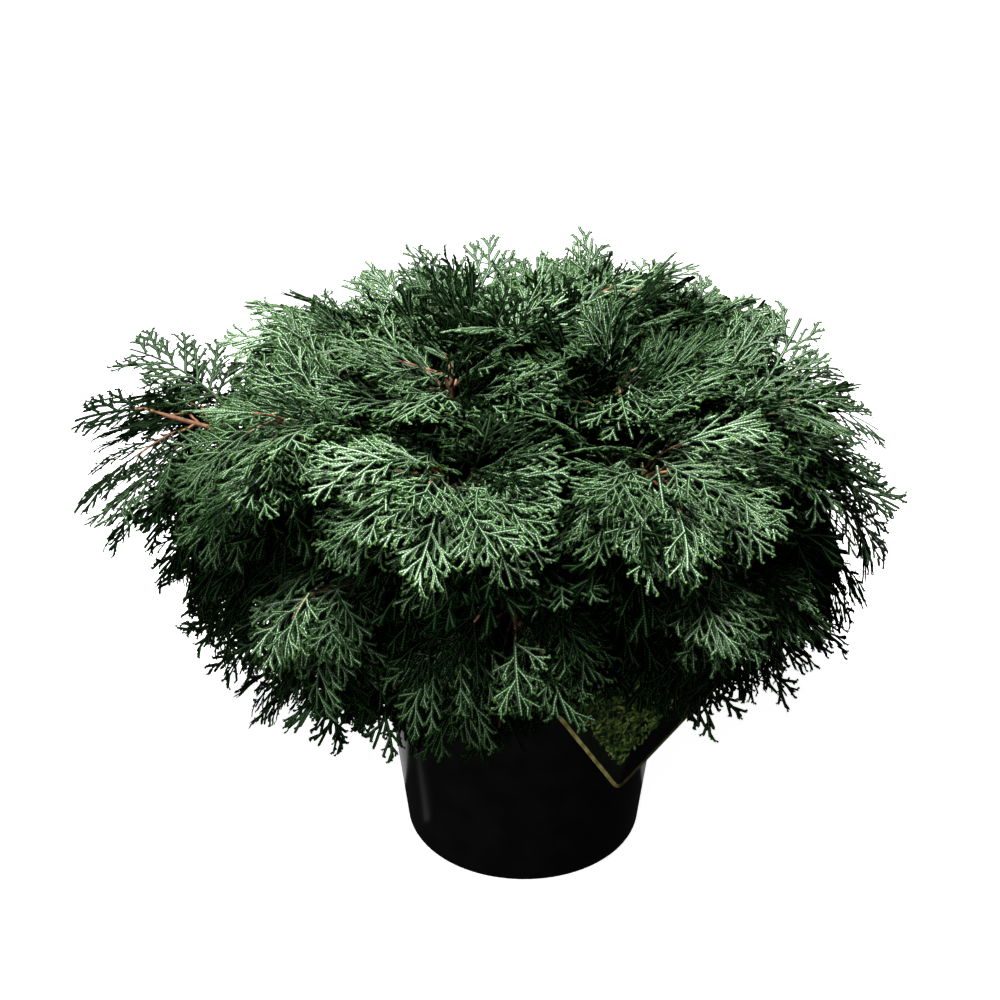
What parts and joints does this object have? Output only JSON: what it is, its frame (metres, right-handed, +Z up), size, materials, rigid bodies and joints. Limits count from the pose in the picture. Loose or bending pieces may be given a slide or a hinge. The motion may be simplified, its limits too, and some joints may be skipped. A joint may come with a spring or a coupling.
{
  "type": "potted dwarf conifer",
  "caption": "Dwarf hinoki cypress with a bun-shaped crown of flat fan sprays, in a round black nursery pot with a hanging plant label.",
  "frame": {"origin": "centre of the flat underside of the pot, on the surface that the plant stands on", "axes": "+Z up along the pot's axis, -Y towards the front of the plant as pictured, +X to the viewer's right"},
  "size_m": [0.5104, 0.4072, 0.3945],
  "materials": {
    "foliage": "satin green scale leaves",
    "bark": "rough red-brown bark",
    "pot": "smooth black plastic",
    "compost": "loose dark compost",
    "label": "printed plastic card"
  },
  "bodies": {
    "root": {"pot": "pot", "compost": "compost", "trunk": "bark", "bough_lower_1": "bark", "bough_lower_2": "bark", "bough_lower_3": "bark", "bough_lower_4": "bark", "bough_lower_5": "bark", "bough_lower_6": "bark", "bough_lower_7": "bark", "bough_middle_1": "bark", "bough_middle_2": "bark", "bough_middle_3": "bark", "bough_middle_4": "bark", "bough_middle_5": "bark", "bough_middle_6": "bark", "bough_middle_7": "bark", "bough_middle_8": "bark", "bough_upper_1": "bark", "bough_upper_2": "bark", "bough_upper_3": "bark", "bough_upper_4": "bark", "bough_upper_5": "bark", "bough_upper_6": "bark", "bough_upper_7": "bark", "bough_top_1": "bark", "bough_top_2": "bark", "bough_top_3": "bark", "bough_top_4": "bark", "bough_long": "bark", "foliage_lower_1": "foliage", "foliage_lower_2": "foliage", "foliage_lower_3": "foliage", "foliage_lower_4": "foliage", "foliage_lower_5": "foliage", "foliage_lower_6": "foliage", "foliage_lower_7": "foliage", "foliage_middle_1": "foliage", "foliage_middle_2": "foliage", "foliage_middle_3": "foliage", "foliage_middle_4": "foliage", "foliage_middle_5": "foliage", "foliage_middle_6": "foliage", "foliage_middle_7": "foliage", "foliage_middle_8": "foliage", "foliage_upper_1": "foliage", "foliage_upper_2": "foliage", "foliage_upper_3": "foliage", "foliage_upper_4": "foliage", "foliage_upper_5": "foliage", "foliage_upper_6": "foliage", "foliage_upper_7": "foliage", "foliage_top_1": "foliage", "foliage_top_2": "foliage", "foliage_top_3": "foliage", "foliage_top_4": "foliage", "foliage_long": "foliage", "foliage_leader": "foliage", "label_card": "label", "label_strap": "label"}
  },
  "joints": []
}
